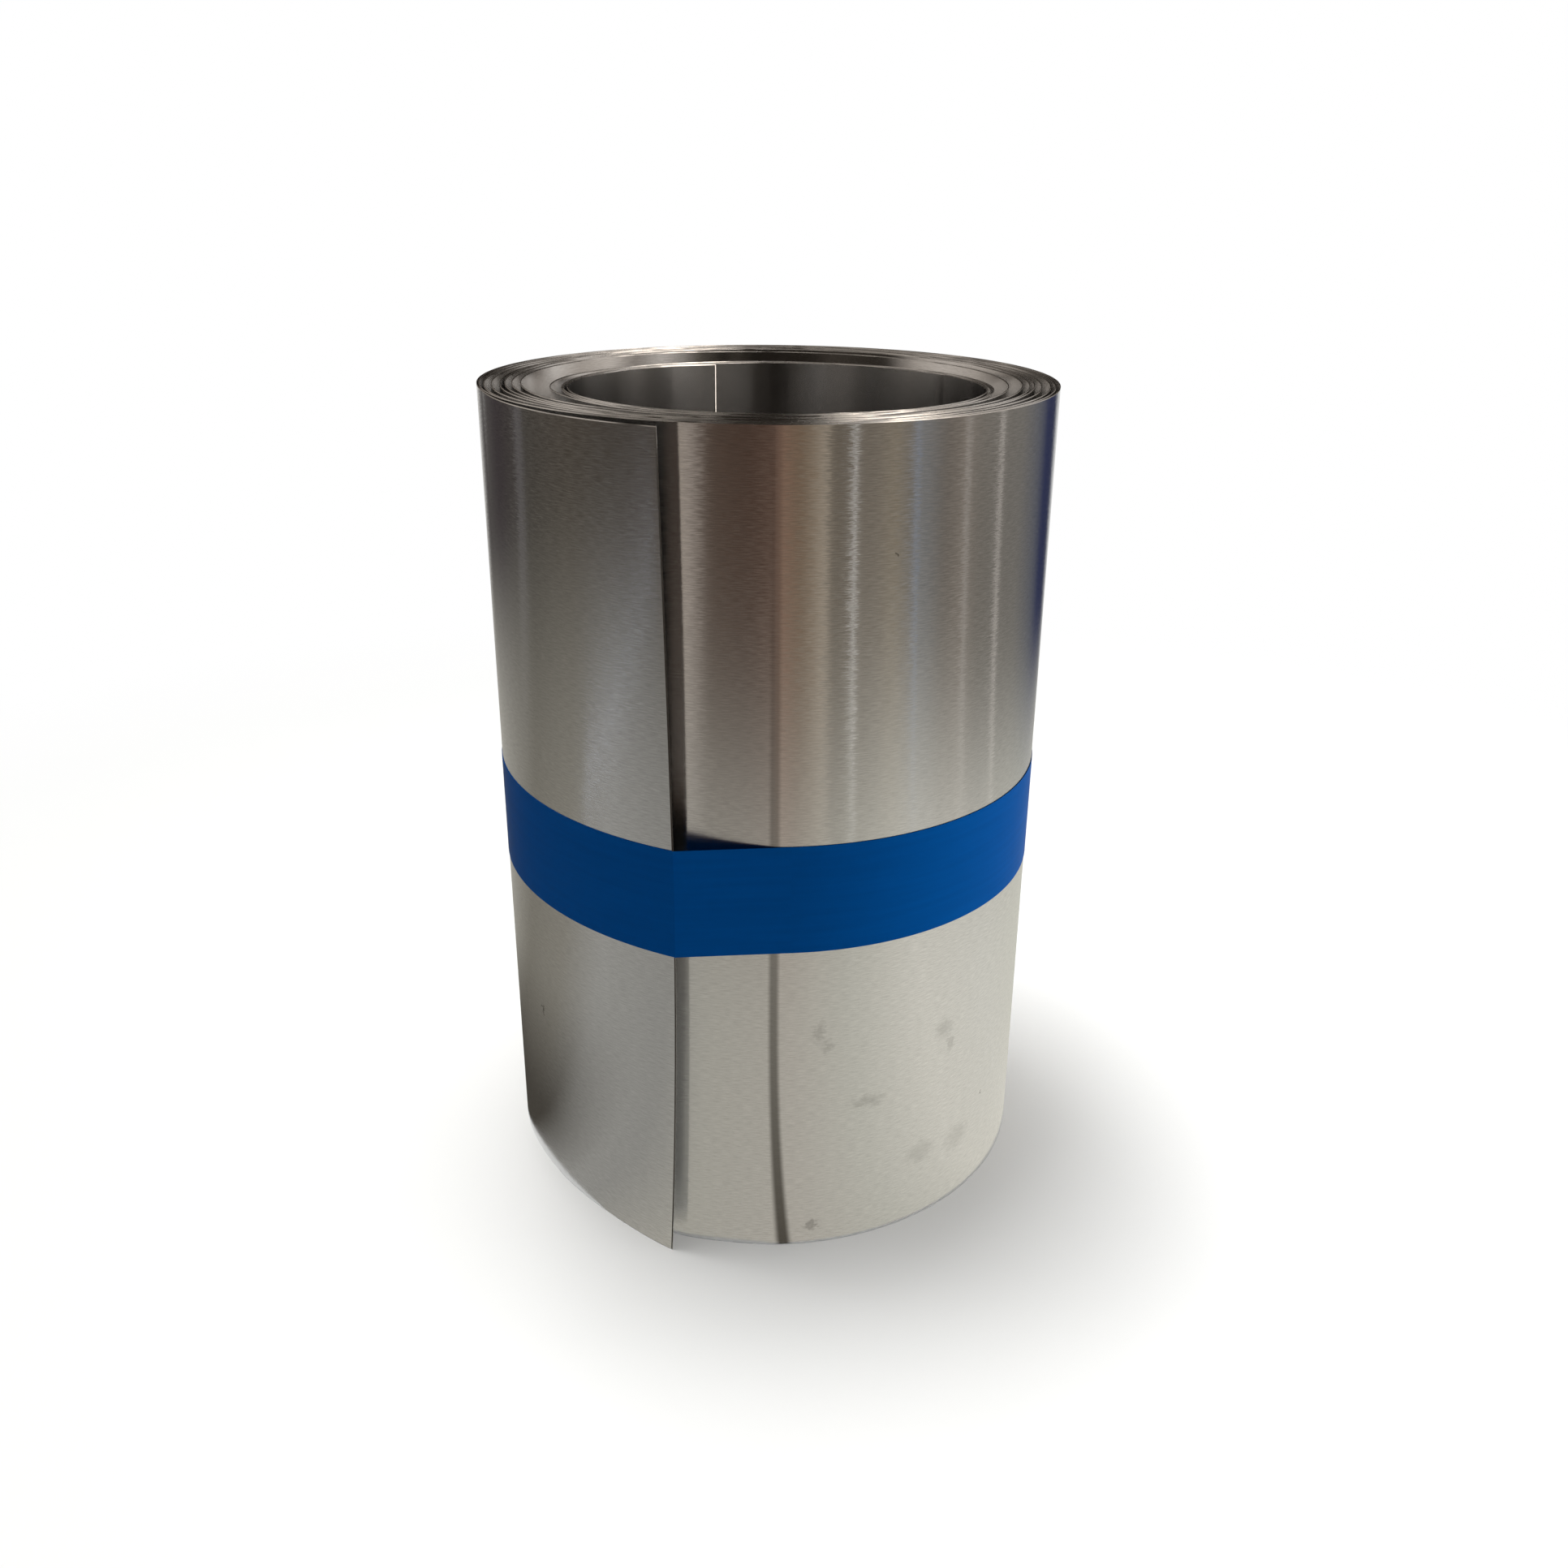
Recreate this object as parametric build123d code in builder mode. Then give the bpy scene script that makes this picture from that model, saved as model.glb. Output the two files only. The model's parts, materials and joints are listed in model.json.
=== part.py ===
# A roll of aluminium valley flashing that stands on its end, held shut by one band of adhesive tape.
# Millimetres, +Z up. The origin is on the bore's axis, on the plane that it stands on, and -Y is its front.
# The sheet is wound outwards counter-clockwise, seen from above.
import os
from math import acos, atan2, degrees, hypot

from build123d import *

# The sheet, and the bore that the coiled sheet leaves open
sheet_width = 355.6
sheet_thickness = 0.3
bore_diameter = 173.0

# The air between the turns, from the outside in: the last turn lies close on the one under it, then come
# a group of like turns, one slack turn, and a group at the bore. It shows as a channel on both ends.
last_turn_gap = 0.5
outer_group_turns = 5
outer_group_gap = 3.1
slack_turn_gap = 13.1
inner_group_turns = 1
inner_group_gap = 3.7
channel_depth = 25.0

# The group at the bore has slid towards the front: how far the bore's axis lies off the roll's axis
bore_offset = 8.5

# The lap at the sheet's free outer end: the angle where it leaves the roll, its length, and how far its
# end springs off the roll
lift_angle = 200.0
lap_length = 115.0
lap_lift = 8.5

# The band of tape
tape_width = 47.0
tape_thickness = 0.3
tape_middle_height = 170.0
tape_clearance = 0.1

# How far a cut runs out past the face that it opens
overrun = 2.0

# Radius of the sheet's outer face at every half turn, counted inwards from the line where the lap lifts
turn_gaps = [last_turn_gap] + [outer_group_gap] * outer_group_turns
turn_gaps += [slack_turn_gap] + [inner_group_gap] * inner_group_turns
turn_pitches = [gap + sheet_thickness for gap in turn_gaps]
bore_radius = bore_diameter / 2
roll_radius = bore_radius + sheet_thickness + sum(turn_pitches)
outer_faces = [roll_radius]
for turn_pitch in turn_pitches:
    outer_faces.append(outer_faces[-1] - turn_pitch / 2)
    outer_faces.append(outer_faces[-1] - turn_pitch / 2)
inner_faces = [radius - sheet_thickness for radius in outer_faces]

# How far each half turn lies off the roll's axis: the slack turn leads over to the group at the bore
outer_shifts = [0] * (2 * outer_group_turns + 3)
bore_shifts = [bore_offset] * (len(outer_faces) - len(outer_shifts) - 1)
turn_shifts = outer_shifts + [bore_offset / 2] + bore_shifts

# The plan's frame is on the roll's axis, with the lift line as its X axis, and the bore lies along its Y axis
lift_line = Vector(1, 0).rotate(Axis.Z, lift_angle)
bore_line = lift_line.rotate(Axis.Z, 90)
lift_plane = Plane(bore_line * -bore_offset, lift_line, (0, 0, 1))

# Plan of the lap: an arc tangent to the roll, with the flatter curve that brings its end out to its lift
lap_spring_radius = 1 / (1 / roll_radius - 2 * lap_lift / lap_length**2)
lap_centre = Vector(roll_radius - lap_spring_radius, 0)
lap_sweep = degrees(lap_length / lap_spring_radius)
lap_corner = lap_centre + Vector(lap_spring_radius, 0).rotate(Axis.Z, lap_sweep)

# The last turn is two half circles, and the tape leaves the lap's corner as a tangent to the first of them
near_centre = Vector((outer_faces[2] - outer_faces[1]) / 2, 0)
near_radius = (outer_faces[2] + outer_faces[1]) / 2
far_centre = Vector((outer_faces[0] - outer_faces[1]) / 2, 0)
far_radius = (outer_faces[0] + outer_faces[1]) / 2
corner_reach = lap_corner - near_centre
corner_angle = degrees(atan2(corner_reach.Y, corner_reach.X))
touch_angle = corner_angle + degrees(acos(near_radius / hypot(corner_reach.X, corner_reach.Y)))


# One face of the sheet over half a turn, from crossing k of the lift line to the next crossing inwards
def half_turn(faces, shifts, k):
    side = 1 if k % 2 == 0 else -1
    start = Vector(side * faces[k], shifts[k])
    end = Vector(-side * faces[k + 1], shifts[k + 1])
    middle = (start + end) / 2 - Vector(0, side * (faces[k] + faces[k + 1]) / 2)
    return ThreePointArc(start, middle, end)


# The closed line that a wrap follows at a stand-off from the sheet: round the roll, out over the lap,
# round the lap's corner and straight across the gap to where it touches the roll again
def wrap_line(stand_off):
    near_arc = CenterArc(near_centre, near_radius + stand_off, touch_angle, 180 - touch_angle)
    CenterArc(far_centre, far_radius + stand_off, 180, 180)
    CenterArc(lap_centre, lap_spring_radius + stand_off, 0, lap_sweep)
    corner_arc = CenterArc(lap_corner, stand_off, lap_sweep, touch_angle - lap_sweep)
    Line(corner_arc @ 1, near_arc @ 0)


with BuildPart() as flashing_roll:
    # The rolled sheet as one turned body with its bore, and the slot under the lap
    with BuildSketch(lift_plane) as roll_plan:
        with BuildLine() as roll_outline:
            half_turn(outer_faces, turn_shifts, 0)
            under_lap = half_turn(outer_faces, turn_shifts, 1)
            lap_inside = CenterArc(lap_centre, lap_spring_radius - sheet_thickness, 0, lap_sweep)
            lap_outside = CenterArc(lap_centre, lap_spring_radius, 0, lap_sweep)
            Line(under_lap @ 1, lap_inside @ 0)
            Line(lap_inside @ 1, lap_outside @ 1)
        make_face()
        with Locations((0, bore_offset)):
            Circle(bore_radius, mode=Mode.SUBTRACT)
    extrude(amount=sheet_width)
    # The open channel between the turns, at both ends: it runs on inwards from the slot under the lap
    channel_planes = [lift_plane.offset(-overrun), lift_plane.offset(sheet_width - channel_depth)]
    with BuildSketch(*channel_planes) as channel_plan:
        with BuildLine() as channel_outline:
            last_crossing = len(outer_faces) - 3
            for k in range(last_crossing):
                outer_wall = half_turn(inner_faces, turn_shifts, k)
                inner_wall = half_turn(outer_faces[2:], turn_shifts[2:], k)
                if k == 0:
                    Line(outer_wall @ 0, inner_wall @ 0)
            Line(outer_wall @ 1, inner_wall @ 1)
        make_face()
    extrude(amount=channel_depth + overrun, mode=Mode.SUBTRACT)

with BuildPart() as binding_tape:
    with BuildSketch(lift_plane.offset(tape_middle_height - tape_width / 2)) as tape_plan:
        with BuildLine() as tape_outside:
            wrap_line(tape_clearance + tape_thickness)
        make_face()
        with BuildLine() as tape_inside:
            wrap_line(tape_clearance)
        make_face(mode=Mode.SUBTRACT)
    extrude(amount=tape_width)

os.makedirs("parts", exist_ok=True)
flashing_roll.part.label = "flashing_roll"
export_step(flashing_roll.part, "parts/flashing_roll.step")
binding_tape.part.label = "binding_tape"
export_step(binding_tape.part, "parts/binding_tape.step")

print(f"roll {2 * roll_radius:.1f} across, bore {bore_diameter:.1f}")
print(f"free end {hypot(lap_corner.X, lap_corner.Y):.1f} from the axis, tape touches down at {touch_angle:.1f}")
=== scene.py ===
import json
from math import cos, pi, radians, sin

import bpy
from mathutils import Matrix, Vector


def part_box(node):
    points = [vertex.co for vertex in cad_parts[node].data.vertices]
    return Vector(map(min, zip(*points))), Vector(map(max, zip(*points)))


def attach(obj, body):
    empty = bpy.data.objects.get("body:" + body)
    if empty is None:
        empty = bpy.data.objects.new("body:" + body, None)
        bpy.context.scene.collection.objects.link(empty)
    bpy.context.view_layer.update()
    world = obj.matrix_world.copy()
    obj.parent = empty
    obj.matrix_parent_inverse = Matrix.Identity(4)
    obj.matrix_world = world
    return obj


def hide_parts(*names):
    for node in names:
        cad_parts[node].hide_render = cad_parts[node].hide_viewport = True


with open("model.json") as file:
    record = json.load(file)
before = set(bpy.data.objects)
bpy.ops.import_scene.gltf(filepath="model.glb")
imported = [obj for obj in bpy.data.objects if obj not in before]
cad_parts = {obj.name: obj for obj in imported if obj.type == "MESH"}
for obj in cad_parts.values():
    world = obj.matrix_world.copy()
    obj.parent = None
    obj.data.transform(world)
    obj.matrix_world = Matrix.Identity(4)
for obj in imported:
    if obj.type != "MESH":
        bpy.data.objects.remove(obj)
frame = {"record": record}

scene = bpy.context.scene
scene.view_settings.view_transform = "Standard"
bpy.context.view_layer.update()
mm = 0.001

colourA, colourB, colourOut = 6, 7, 2   # a Mix node's colour sockets
noiseLow, noiseHigh = 0.3, 0.7          # most values of a noise texture lie between these


def linearColour(hexColour):  # sRGB hex to the linear values that Blender's sockets take
    channels = [int(hexColour[i:i + 2], 16) / 255 for i in (1, 3, 5)]
    linear = [c / 12.92 if c <= 0.04045 else ((c + 0.055) / 1.055) ** 2.4 for c in channels]
    return (*linear, 1.0)


def addNode(tree, kind, links=None, **settings):  # a socket takes a value, a socket or a node's first output
    node = tree.nodes.new(kind)
    for name, value in settings.items():
        setattr(node, name, value)
    for socket, value in (links or {}).items():
        if isinstance(value, bpy.types.Node):
            value = value.outputs[0]
        if isinstance(value, bpy.types.NodeSocket):
            tree.links.new(value, node.inputs[socket])
        else:
            node.inputs[socket].default_value = value
    return node


def newMaterial(name):
    material = bpy.data.materials.new(name)
    material.use_nodes = True
    material.node_tree.nodes.clear()
    return material, material.node_tree


def setStops(ramp, stops):  # stops are (place, hex colour), in order
    elements = ramp.color_ramp.elements
    while len(elements) < len(stops):
        elements.new(1.0)
    for element, (place, hexColour) in zip(elements, stops):
        element.position = place
        element.color = linearColour(hexColour)


def addObject(name, data):
    piece = bpy.data.objects.new(name, data)
    scene.collection.objects.link(piece)
    return piece


def plainMesh(piece):  # the evaluated shape as a plain mesh, with the modifiers gone
    graph = bpy.context.evaluated_depsgraph_get()
    mesh = bpy.data.meshes.new_from_object(piece.evaluated_get(graph), depsgraph=graph)
    piece.modifiers.clear()
    piece.data = mesh
    return mesh


# The wound sheet

rollLow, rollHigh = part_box("flashing_roll")
tapeLow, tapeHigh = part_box("binding_tape")
boreMount = next(mount for mount in frame["record"]["mounts"] if mount["name"] == "bore")

# the origin is on the bore's axis, and the outer turns lie off it, towards the back
boreOffset = 8.5 * mm
boreLine = radians(290)
rollCentre = Vector((-cos(boreLine), -sin(boreLine), 0.0)) * boreOffset

sheet = {
    "turns": 11.4,                      # from the inner end to the free outer end
    "thickness": 0.3 * mm,
    "width": rollHigh.z - rollLow.z,
    "boreRadius": boreMount["dims"]["r_mm"] * mm,
    "rollRadius": rollHigh.x - rollCentre.x,
    "centreX": rollCentre.x,
    "centreY": rollCentre.y,
    "endAngle": radians(253.7),         # where the free outer end is, counter-clockwise from +X
    "lapAngle": radians(52.5),          # how far back from its end the lap leaves the roll
    "lapLiftTop": 11.5 * mm,
    "lapLiftTape": 8.0 * mm,
    "lapLiftFoot": 9.2 * mm,
    "lapBendTop": 1.2,                  # power of the lap's curve: it leaves the roll sooner at the top
    "lapBendFoot": 2.9,
    "endBowTop": radians(0.6),          # top and foot of the free end hang back behind the taped middle
    "endBowFoot": radians(2.1),
    "tapeShare": (tapeLow.z + tapeHigh.z) / 2 / (rollHigh.z - rollLow.z),
    "slackStart": 0.24,                 # shares of the strip where the slack turn starts and ends
    "slackEnd": 0.38,
    "innerDropMean": 1.7 * mm,          # the inner group has slipped down a little, most at the back
    "innerDropSwing": 1.5 * mm,
    "innerEndShare": 0.012,             # share of the strip that stands off the bore's wall
    "innerEndLift": 3.0 * mm,
    "boreWave": 1.6 * mm,
    "boreWaveScale": 3.2,
    "boreWaveWhole": 0.08,              # shares of the strip where the wave starts to fade and ends
    "boreWaveNone": 0.16,
    "uneven": 0.7 * mm,
    "unevenScale": 0.9,
    "rimUneven": 0.6 * mm,
    "rimScale": 1.7,
    "creaseTurn": 0.9511,               # turns back from the free end, where the flattened strip ends
    "creaseStart": 1.027,
    "creaseDepth": 0.8 * mm,            # flattened strip beside the upright crease at the front
    "footDip": 2.2 * mm,                # the roll is pressed in a little at its foot, front left
    "dipAngle": radians(222),
    "dipHalfAngle": radians(32),
    "dipHeight": 0.35,                  # share of the height
    "edgeBand": 0.4 * mm,               # worn strip along the cut edges, drawn wide enough to show
    "columns": 1700,
    "rows": 18,
    "outerColumnShare": 0.36,           # share of the columns in the last turns, which show most
    "outerTurns": 1.25,
}
lengthFactor = 1.03                     # most turns lie nearer the outside, so the mean radius falls short
sheet["length"] = sheet["turns"] * pi * (sheet["boreRadius"] + sheet["rollRadius"]) * lengthFactor
sheetSharpAngle = radians(40)

# how far out each part of the strip lies: close inner turns, one slack turn, close outer turns
windingPoints = [(0.0, 0.0), (0.13, 0.06), (0.255, 0.125), (0.31, 0.30), (0.365, 0.49), (0.64, 0.75),
                 (0.9, 0.975), (1.0, 1.0)]


def buildSheetTree():
    tree = bpy.data.node_groups.new("woundSheet", "GeometryNodeTree")
    sockets = {}
    for name in sheet:
        kind = "NodeSocketInt" if name in ("columns", "rows") else "NodeSocketFloat"
        sockets[name] = tree.interface.new_socket(name=name, in_out="INPUT", socket_type=kind)
    for name in ("material", "edgeMaterial"):
        sockets[name] = tree.interface.new_socket(name=name, in_out="INPUT", socket_type="NodeSocketMaterial")
    tree.interface.new_socket(name="Geometry", in_out="OUTPUT", socket_type="NodeSocketGeometry")
    given = addNode(tree, "NodeGroupInput").outputs

    grid = addNode(tree, "GeometryNodeMeshGrid", {
        "Size X": 1.0, "Size Y": 1.0, "Vertices X": given["columns"], "Vertices Y": given["rows"]})
    place = addNode(tree, "GeometryNodeInputPosition")
    split = addNode(tree, "ShaderNodeSeparateXYZ", {0: place})
    across = addNode(tree, "ShaderNodeMath", {0: split.outputs["X"], 1: 0.5}, operation="ADD")
    even = addNode(tree, "ShaderNodeMath", {0: split.outputs["Y"], 1: 0.5}, operation="ADD")

    # the first and last rows are the narrow strips along the cut edges
    lastRow, firstRow = 0.9999, 0.0001  # heights on the grid that only the outermost points pass
    edgeRow = 0.75                      # in rows: past the middles of the outermost faces only
    steps = addNode(tree, "ShaderNodeMath", {0: given["rows"], 1: 1.0}, operation="SUBTRACT")
    rowStep = addNode(tree, "ShaderNodeMath", {0: 1.0, 1: steps}, operation="DIVIDE")
    lastStep = addNode(tree, "ShaderNodeMath", {0: 1.0, 1: rowStep}, operation="SUBTRACT")
    edgeShare = addNode(tree, "ShaderNodeMath", {0: given["edgeBand"], 1: given["width"]}, operation="DIVIDE")
    topShare = addNode(tree, "ShaderNodeMath", {0: 1.0, 1: edgeShare}, operation="SUBTRACT")
    between = addNode(tree, "ShaderNodeMapRange", {
        "Value": even, "From Min": rowStep, "From Max": lastStep, "To Min": edgeShare, "To Max": topShare})
    atTop = addNode(tree, "ShaderNodeMath", {0: even, 1: lastRow}, operation="GREATER_THAN")
    atFoot = addNode(tree, "ShaderNodeMath", {0: even, 1: firstRow}, operation="LESS_THAN")
    outermost = addNode(tree, "ShaderNodeMath", {0: atTop, 1: atFoot}, operation="SUBTRACT")
    up = addNode(tree, "ShaderNodeMath", {0: outermost, 1: edgeShare, 2: between}, operation="MULTIPLY_ADD")
    offMiddle = addNode(tree, "ShaderNodeMath", {0: split.outputs["Y"]}, operation="ABSOLUTE")
    edgeLimit = addNode(tree, "ShaderNodeMath", {0: rowStep, 1: -edgeRow, 2: 0.5}, operation="MULTIPLY_ADD")
    onEdge = addNode(tree, "FunctionNodeCompare", {0: offMiddle, 1: edgeLimit}, operation="GREATER_THAN")

    # more columns in the last turns: along runs 0 to 1 from the inner end to the free end
    innerColumns = addNode(
        tree, "ShaderNodeMath", {0: 1.0, 1: given["outerColumnShare"]}, operation="SUBTRACT")
    outerShare = addNode(
        tree, "ShaderNodeMath", {0: given["outerTurns"], 1: given["turns"]}, operation="DIVIDE")
    innerShare = addNode(tree, "ShaderNodeMath", {0: 1.0, 1: outerShare}, operation="SUBTRACT")
    innerRun = addNode(tree, "ShaderNodeMapRange", {
        "Value": across, "From Max": innerColumns, "To Max": innerShare})
    outerRun = addNode(tree, "ShaderNodeMapRange", {
        "Value": across, "From Min": innerColumns, "To Max": outerShare})
    along = addNode(tree, "ShaderNodeMath", {0: innerRun, 1: outerRun}, operation="ADD")

    # angle round the axis, from the free end back
    left = addNode(tree, "ShaderNodeMath", {0: 1.0, 1: along}, operation="SUBTRACT")
    turnsLeft = addNode(tree, "ShaderNodeMath", {0: left, 1: given["turns"]}, operation="MULTIPLY")
    turned = addNode(
        tree, "ShaderNodeMath", {0: turnsLeft, 1: -2 * pi, 2: given["endAngle"]}, operation="MULTIPLY_ADD")

    # spiral radius, uneven between the turns but smooth outside
    noiseSpread = 2.0                   # a noise stays near its middle, so it is spread to about -1 to 1
    winding = addNode(tree, "ShaderNodeFloatCurve", {"Value": along})
    curve = winding.mapping.curves[0]
    curve.points[0].location = windingPoints[0]
    curve.points[1].location = windingPoints[-1]
    for point in windingPoints[1:-1]:
        curve.points.new(*point)
    winding.mapping.update()
    spiral = addNode(tree, "ShaderNodeMapRange", {
        "Value": winding, "To Min": given["boreRadius"], "To Max": given["rollRadius"]})
    cosTurned = addNode(tree, "ShaderNodeMath", {0: turned}, operation="COSINE")
    sinTurned = addNode(tree, "ShaderNodeMath", {0: turned}, operation="SINE")
    ringPlace = addNode(tree, "ShaderNodeCombineXYZ", {0: cosTurned, 1: sinTurned, 2: turnsLeft})
    noise = addNode(tree, "ShaderNodeTexNoise", {
        "Vector": ringPlace, "Scale": given["unevenScale"], "Detail": 1.0})
    inside = addNode(tree, "ShaderNodeMapRange", {"Value": turnsLeft, "From Min": 1.0, "From Max": 2.0},
                     interpolation_type="SMOOTHSTEP")
    centred = addNode(tree, "ShaderNodeMapRange", {
        "Value": noise, "To Min": -noiseSpread, "To Max": noiseSpread}, clamp=False)
    wander = addNode(tree, "ShaderNodeMath", {0: centred, 1: inside}, operation="MULTIPLY")
    wanderOut = addNode(
        tree, "ShaderNodeMath", {0: wander, 1: given["uneven"], 2: spiral}, operation="MULTIPLY_ADD")

    # the lap springs off, with its own curve at the top, at the tape and at the foot
    lapTurns = addNode(tree, "ShaderNodeMath", {0: given["lapAngle"], 1: 2 * pi}, operation="DIVIDE")
    lap = addNode(tree, "ShaderNodeMapRange", {"Value": turnsLeft, "From Min": lapTurns, "From Max": 0.0})
    liftAbove = addNode(tree, "ShaderNodeMapRange", {
        "Value": up, "From Min": given["tapeShare"],
        "To Min": given["lapLiftTape"], "To Max": given["lapLiftTop"]})
    liftBelow = addNode(tree, "ShaderNodeMapRange", {
        "Value": up, "From Max": given["tapeShare"],
        "To Min": given["lapLiftFoot"], "To Max": given["lapLiftTape"]})
    aboveTape = addNode(tree, "FunctionNodeCompare", {0: up, 1: given["tapeShare"]}, operation="GREATER_THAN")
    lift = addNode(tree, "GeometryNodeSwitch", {"Switch": aboveTape, "False": liftBelow, "True": liftAbove},
                   input_type="FLOAT")
    power = addNode(tree, "ShaderNodeMapRange", {
        "Value": up, "To Min": given["lapBendFoot"], "To Max": given["lapBendTop"]})
    lapCurve = addNode(tree, "ShaderNodeMath", {0: lap, 1: power}, operation="POWER")
    lifted = addNode(tree, "ShaderNodeMath", {0: lapCurve, 1: lift, 2: wanderOut}, operation="MULTIPLY_ADD")

    # upright crease at the front: the strip beside it is flattened, so the light breaks there
    creasePeak = 27 / 4                 # run * run * (1 - run) is 4 / 27 at its highest
    creaseRun = addNode(tree, "ShaderNodeMapRange", {
        "Value": turnsLeft, "From Min": given["creaseStart"], "From Max": given["creaseTurn"]})
    creaseSquare = addNode(tree, "ShaderNodeMath", {0: creaseRun, 1: creaseRun}, operation="MULTIPLY")
    creaseRest = addNode(tree, "ShaderNodeMath", {0: 1.0, 1: creaseRun}, operation="SUBTRACT")
    creaseShape = addNode(tree, "ShaderNodeMath", {0: creaseSquare, 1: creaseRest}, operation="MULTIPLY")
    creaseDepth = addNode(
        tree, "ShaderNodeMath", {0: given["creaseDepth"], 1: -creasePeak}, operation="MULTIPLY")
    creased = addNode(
        tree, "ShaderNodeMath", {0: creaseShape, 1: creaseDepth, 2: lifted}, operation="MULTIPLY_ADD")

    # flat spot at the foot, front left, through all the outer turns
    fromDip = addNode(tree, "ShaderNodeMath", {0: turned, 1: given["dipAngle"]}, operation="SUBTRACT")
    cosDip = addNode(tree, "ShaderNodeMath", {0: fromDip}, operation="COSINE")
    cosDipSide = addNode(tree, "ShaderNodeMath", {0: given["dipHalfAngle"]}, operation="COSINE")
    dipAround = addNode(tree, "ShaderNodeMapRange", {"Value": cosDip, "From Min": cosDipSide},
                        interpolation_type="SMOOTHSTEP")
    dipFoot = addNode(tree, "ShaderNodeMapRange", {
        "Value": up, "From Max": given["dipHeight"], "To Min": 1.0, "To Max": 0.0},
        interpolation_type="SMOOTHSTEP")
    dipBoth = addNode(tree, "ShaderNodeMath", {0: dipAround, 1: dipFoot}, operation="MULTIPLY")
    dipDepth = addNode(tree, "ShaderNodeMath", {0: dipBoth, 1: given["footDip"]}, operation="MULTIPLY")
    dipped = addNode(tree, "ShaderNodeMath", {0: creased, 1: dipDepth}, operation="SUBTRACT")

    # the innermost turn is a little uneven, so that the bore shows upright streaks
    boreWeight = addNode(tree, "ShaderNodeMapRange", {
        "Value": along, "From Min": given["boreWaveWhole"], "From Max": given["boreWaveNone"],
        "To Min": 1.0, "To Max": 0.0})
    waveNoise = addNode(tree, "ShaderNodeTexNoise", {
        "Vector": ringPlace, "Scale": given["boreWaveScale"], "Detail": 1.5})
    waveCentred = addNode(tree, "ShaderNodeMath", {0: waveNoise, 1: 0.5}, operation="SUBTRACT")
    waveWeighted = addNode(tree, "ShaderNodeMath", {0: waveCentred, 1: boreWeight}, operation="MULTIPLY")
    waved = addNode(tree, "ShaderNodeMath", {0: waveWeighted, 1: given["boreWave"], 2: dipped},
                    operation="MULTIPLY_ADD")

    # the inner end stands off the wall of the bore
    tail = addNode(tree, "ShaderNodeMapRange", {
        "Value": along, "From Max": given["innerEndShare"], "To Min": 1.0, "To Max": 0.0})
    tailSquare = addNode(tree, "ShaderNodeMath", {0: tail, 1: tail}, operation="MULTIPLY")
    tailLift = addNode(
        tree, "ShaderNodeMath", {0: tailSquare, 1: given["innerEndLift"]}, operation="MULTIPLY")
    radius = addNode(tree, "ShaderNodeMath", {0: waved, 1: tailLift}, operation="SUBTRACT")

    # the free end's edge is bowed: its middle is held round by the tape
    bowScale = 4.0                      # the bow is whole at half the sheet's width from the tape
    fromTape = addNode(tree, "ShaderNodeMath", {0: up, 1: given["tapeShare"]}, operation="SUBTRACT")
    bowSquare = addNode(tree, "ShaderNodeMath", {0: fromTape, 1: fromTape}, operation="MULTIPLY")
    bowMost = addNode(tree, "GeometryNodeSwitch", {
        "Switch": aboveTape, "False": given["endBowFoot"], "True": given["endBowTop"]}, input_type="FLOAT")
    bowTurn = addNode(tree, "ShaderNodeMath", {0: bowSquare, 1: bowMost}, operation="MULTIPLY")
    bowScaled = addNode(tree, "ShaderNodeMath", {0: bowTurn, 1: bowScale}, operation="MULTIPLY")
    bowLap = addNode(tree, "ShaderNodeMath", {0: bowScaled, 1: lap}, operation="MULTIPLY")
    angle = addNode(tree, "ShaderNodeMath", {0: turned, 1: bowLap}, operation="SUBTRACT")

    # place each point, the outer turns round the roll's axis and the inner group round the bore's
    innerWeight = addNode(tree, "ShaderNodeMapRange", {
        "Value": along, "From Min": given["slackStart"], "From Max": given["slackEnd"],
        "To Min": 1.0, "To Max": 0.0}, interpolation_type="SMOOTHSTEP")
    plan = []
    for wave, centre in (("COSINE", "centreX"), ("SINE", "centreY")):
        part = addNode(tree, "ShaderNodeMath", {0: angle}, operation=wave)
        shift = addNode(tree, "ShaderNodeMapRange", {
            "Value": innerWeight, "To Min": given[centre], "To Max": 0.0})
        plan.append(addNode(tree, "ShaderNodeMath", {0: radius, 1: part, 2: shift}, operation="MULTIPLY_ADD"))
    dropRound = addNode(tree, "ShaderNodeMath", {
        0: sinTurned, 1: given["innerDropSwing"], 2: given["innerDropMean"]}, operation="MULTIPLY_ADD")
    drop = addNode(tree, "ShaderNodeMath", {0: dropRound, 1: innerWeight}, operation="MULTIPLY")
    rimNoise = addNode(tree, "ShaderNodeTexNoise", {
        "Vector": ringPlace, "Scale": given["rimScale"], "Detail": 1.0})
    rimDrop = addNode(tree, "ShaderNodeMath", {0: rimNoise, 1: inside}, operation="MULTIPLY")
    allDrop = addNode(
        tree, "ShaderNodeMath", {0: rimDrop, 1: given["rimUneven"], 2: drop}, operation="MULTIPLY_ADD")
    height = addNode(tree, "ShaderNodeMath", {0: given["width"], 1: allDrop}, operation="SUBTRACT")
    placeZ = addNode(tree, "ShaderNodeMath", {0: up, 1: height}, operation="MULTIPLY")
    target = addNode(tree, "ShaderNodeCombineXYZ", {0: plan[0], 1: plan[1], 2: placeZ})

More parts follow.
